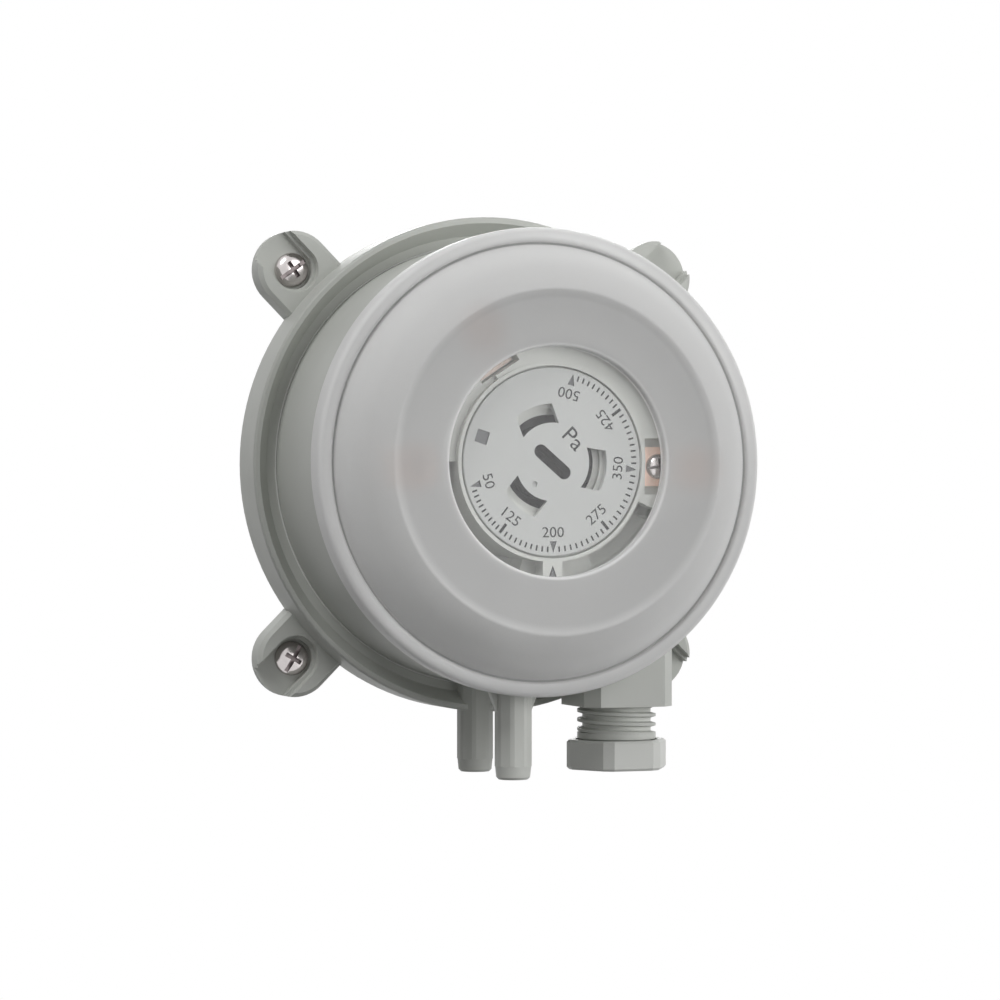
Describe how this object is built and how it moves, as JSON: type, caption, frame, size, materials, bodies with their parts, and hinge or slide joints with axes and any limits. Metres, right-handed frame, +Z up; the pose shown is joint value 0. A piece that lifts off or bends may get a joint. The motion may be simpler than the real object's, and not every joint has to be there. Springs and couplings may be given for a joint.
{
  "type": "differential pressure switch",
  "caption": "Round wall-mounted switch for small air pressure differences, with a setting dial under a frosted push-on cover, hose connectors and a cable gland.",
  "frame": {"origin": "centre of the flat back face, on the plane of the wall", "axes": "+Z up the wall, -Y out of the wall towards the viewer, +X to the right as seen from the front"},
  "size_m": [0.085, 0.054, 0.0953],
  "materials": {
    "housing": "fine satin moulding, light grey",
    "cover": "frosted translucent, with a clear polished window in the middle",
    "dial": "satin, light grey with a dark printed scale",
    "nut": "satin moulding, light grey",
    "inner_plastic": "plain moulding, mid grey",
    "copper": "rolled copper alloy, slightly dull",
    "steel": "zinc plated",
    "rubber": "matt",
    "diaphragm": "matt silicone"
  },
  "bodies": {
    "housing": {"base_housing": "housing", "main_housing": "housing", "cover_seal": "rubber", "terminal_common": "copper", "terminal_nc": "copper", "terminal_no": "copper", "terminal_screw_common": "steel", "terminal_screw_nc": "steel", "terminal_screw_no": "steel", "gland_seal": "rubber", "fixing_screw_upper": "steel", "fixing_screw_lower": "steel", "diaphragm": "diaphragm", "range_spring": "steel", "contact_carrier": "inner_plastic", "lever_pivot_pin": "steel", "fixed_contact_nc": "copper", "fixed_contact_no": "copper", "housing_screw_1": "steel", "housing_screw_2": "steel", "housing_screw_3": "steel"},
    "cover_body": {"cover": "cover"},
    "dial_body": {"setting_dial": "dial"},
    "seat_body": {"spring_seat": "inner_plastic"},
    "plate_body": {"diaphragm_plate": "inner_plastic"},
    "lever_body": {"contact_lever": "copper"},
    "gland_ring_body": {"gland_thrust_ring": "inner_plastic"},
    "gland_nut_body": {"gland_nut": "nut"}
  },
  "joints": [
    {"name": "dial_turn", "type": "hinge", "parent": "housing", "child": "dial_body", "pos_m": [0, -0.0396, 0], "axis": [0, -1, 0], "range_deg": [-165.3, 74.5]},
    {"name": "seat_slide", "type": "slide", "parent": "housing", "child": "seat_body", "axis": [0, 1, 0], "range_m": [-0.00125, 0.00276], "deforming": ["range_spring"]},
    {"name": "diaphragm_slide", "type": "slide", "parent": "housing", "child": "plate_body", "axis": [0, -1, 0], "range_m": [0, 0.0007], "stiffness_N_per_m": 170, "springref_m": -0.0018, "deforming": ["range_spring", "diaphragm"]},
    {"name": "lever_tip", "type": "hinge", "parent": "housing", "child": "lever_body", "pos_m": [0.014, -0.0196, -0.013], "axis": [1, 0, 0], "range_deg": [0, 3.1]},
    {"name": "gland_slide", "type": "slide", "parent": "housing", "child": "gland_ring_body", "axis": [0, 0, -1], "range_m": [0, 0.0032]},
    {"name": "gland_nut_turn", "type": "hinge", "parent": "gland_ring_body", "child": "gland_nut_body", "pos_m": [0.01897, -0.021, -0.0495], "axis": [0, 0, -1], "range_deg": [0, 720]},
    {"name": "cover_pull", "type": "slide", "parent": "housing", "child": "cover_body", "axis": [0, -1, 0], "range_m": [0, 0.025]}
  ],
  "couplings": [
    {"joint": "seat_slide", "follows": "dial_turn", "m_per_rad": -0.00095493},
    {"joint": "lever_tip", "follows": "diaphragm_slide", "rad_per_m": 76.92},
    {"joint": "gland_slide", "follows": "gland_nut_turn", "m_per_rad": 0.00025146}
  ]
}
